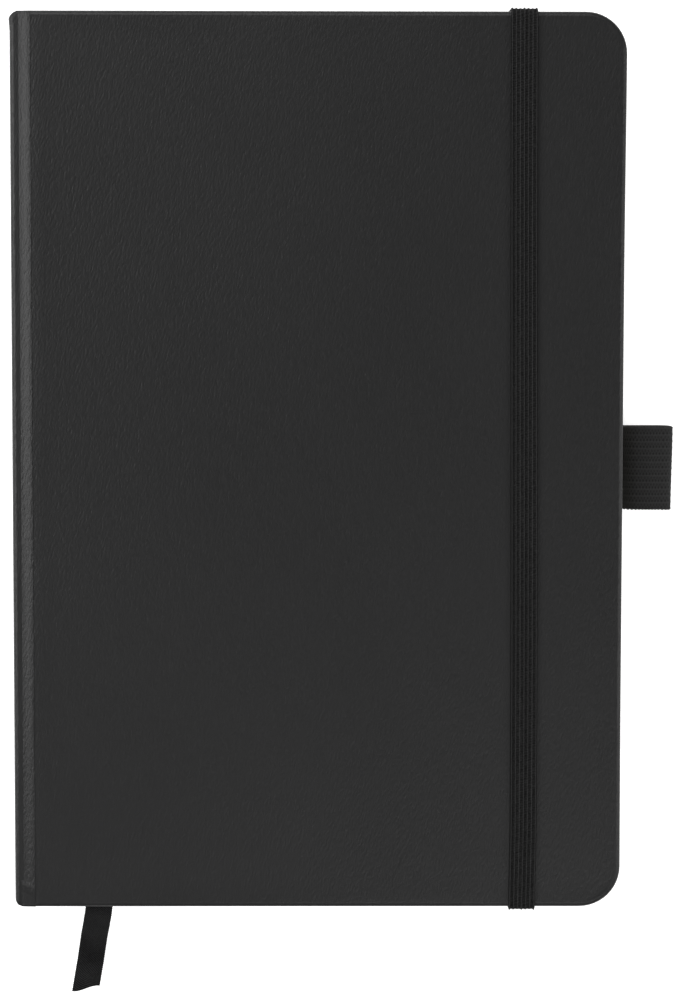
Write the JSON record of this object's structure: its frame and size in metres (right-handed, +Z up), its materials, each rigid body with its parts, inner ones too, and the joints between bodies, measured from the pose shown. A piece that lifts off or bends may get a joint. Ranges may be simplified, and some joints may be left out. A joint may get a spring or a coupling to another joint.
{
  "type": "sketchbook",
  "caption": "Casebound portrait sketchbook with rounded fore-edge corners, elastic closure band, pen loop and ribbon marker.",
  "frame": {"origin": "middle of the back cover's outer face, on the surface the closed book lies on", "axes": "+Z up through the book to the front cover, +Y towards the head (top edge), +X from the spine to the fore-edge"},
  "size_m": [0.1582, 0.2392, 0.018],
  "materials": {
    "leatherette": "fine-grained matt leatherette, charcoal",
    "greyboard": "grey binder's board",
    "endpaper": "uncoated cream endpaper",
    "drawing_paper": "uncoated ivory drawing paper",
    "thread": "waxed linen thread",
    "gauze": "open cotton gauze set in glue",
    "kraft_paper": "kraft lining paper",
    "woven_band": "woven bead, black",
    "satin_ribbon": "black satin ribbon",
    "elastic": "ribbed braided elastic, black",
    "webbing": "cross-ribbed woven elastic, black"
  },
  "bodies": {
    "book": {"front_joint_skin": "leatherette", "spine_skin": "leatherette", "spine_board": "greyboard", "back_joint_skin": "leatherette", "back_cover_skin": "leatherette", "back_board": "greyboard", "back_pastedown": "endpaper", "back_flyleaf": "endpaper", "section_01": "drawing_paper", "section_02": "drawing_paper", "section_03": "drawing_paper", "section_04": "drawing_paper", "section_05": "drawing_paper", "section_06": "drawing_paper", "section_07": "drawing_paper", "section_08": "drawing_paper", "section_09": "drawing_paper", "section_10": "drawing_paper", "sewing_thread": "thread", "mull": "gauze", "spine_liner": "kraft_paper", "headband": "woven_band", "tailband": "woven_band", "ribbon_marker": "satin_ribbon", "closure_band_head_leg": "elastic", "closure_band_tail_leg": "elastic", "closure_band_head_end": "elastic", "closure_band_tail_end": "elastic", "pen_loop_tab": "webbing"},
    "front_cover": {"front_cover_skin": "leatherette", "front_board": "greyboard", "front_pastedown": "endpaper"},
    "flyleaf_sheet": {"front_flyleaf": "endpaper"},
    "leaf_1_sheet": {"leaf_1": "drawing_paper"},
    "leaf_2_sheet": {"leaf_2": "drawing_paper"},
    "leaf_3_sheet": {"leaf_3": "drawing_paper"},
    "leaf_4_sheet": {"leaf_4": "drawing_paper"},
    "leaf_5_sheet": {"leaf_5": "drawing_paper"},
    "closure_band": {"closure_band_front": "elastic"},
    "pen_loop": {"pen_loop": "webbing"}
  },
  "joints": [
    {"name": "front_cover_open", "type": "hinge", "parent": "book", "child": "front_cover", "pos_m": [-0.0704, 0, 0.0156], "axis": [0, -1, 0], "range_deg": [0, 178], "deforming": ["front_joint_skin"]},
    {"name": "flyleaf_turn", "type": "hinge", "parent": "book", "child": "flyleaf_sheet", "pos_m": [-0.0704, 0, 0.0156], "axis": [0, -1, 0], "range_deg": [0, 178]},
    {"name": "leaf_1_turn", "type": "hinge", "parent": "book", "child": "leaf_1_sheet", "pos_m": [-0.0704, 0, 0.0156], "axis": [0, -1, 0], "range_deg": [0, 178]},
    {"name": "leaf_2_turn", "type": "hinge", "parent": "book", "child": "leaf_2_sheet", "pos_m": [-0.0704, 0, 0.0156], "axis": [0, -1, 0], "range_deg": [0, 178]},
    {"name": "leaf_3_turn", "type": "hinge", "parent": "book", "child": "leaf_3_sheet", "pos_m": [-0.0704, 0, 0.0156], "axis": [0, -1, 0], "range_deg": [0, 178]},
    {"name": "leaf_4_turn", "type": "hinge", "parent": "book", "child": "leaf_4_sheet", "pos_m": [-0.0704, 0, 0.0156], "axis": [0, -1, 0], "range_deg": [0, 178]},
    {"name": "leaf_5_turn", "type": "hinge", "parent": "book", "child": "leaf_5_sheet", "pos_m": [-0.0704, 0, 0.0156], "axis": [0, -1, 0], "range_deg": [0, 178]},
    {"name": "closure_band_off", "type": "slide", "parent": "book", "child": "closure_band", "axis": [0, 0, -1], "range_m": [0, 0.0192], "deforming": ["closure_band_front", "closure_band_head_leg", "closure_band_tail_leg"]},
    {"name": "pen_loop_flex", "type": "hinge", "parent": "book", "child": "pen_loop", "pos_m": [0.07305, -0.0013, 0.00195], "axis": [0, -1, 0], "range_deg": [-40, 40], "stiffness_Nm_per_rad": 0.004}
  ],
  "couplings": [
    {"joint": "flyleaf_turn", "follows": "front_cover_open", "ratio": 0.998},
    {"joint": "leaf_1_turn", "follows": "front_cover_open", "ratio": 0.9955},
    {"joint": "leaf_2_turn", "follows": "front_cover_open", "ratio": 0.993},
    {"joint": "leaf_3_turn", "follows": "front_cover_open", "ratio": 0.9905},
    {"joint": "leaf_4_turn", "follows": "front_cover_open", "ratio": 0.988},
    {"joint": "leaf_5_turn", "follows": "front_cover_open", "ratio": 0.9855},
    {"joint": "closure_band_off", "follows": "front_cover_open", "m_per_rad": 0.006116}
  ]
}
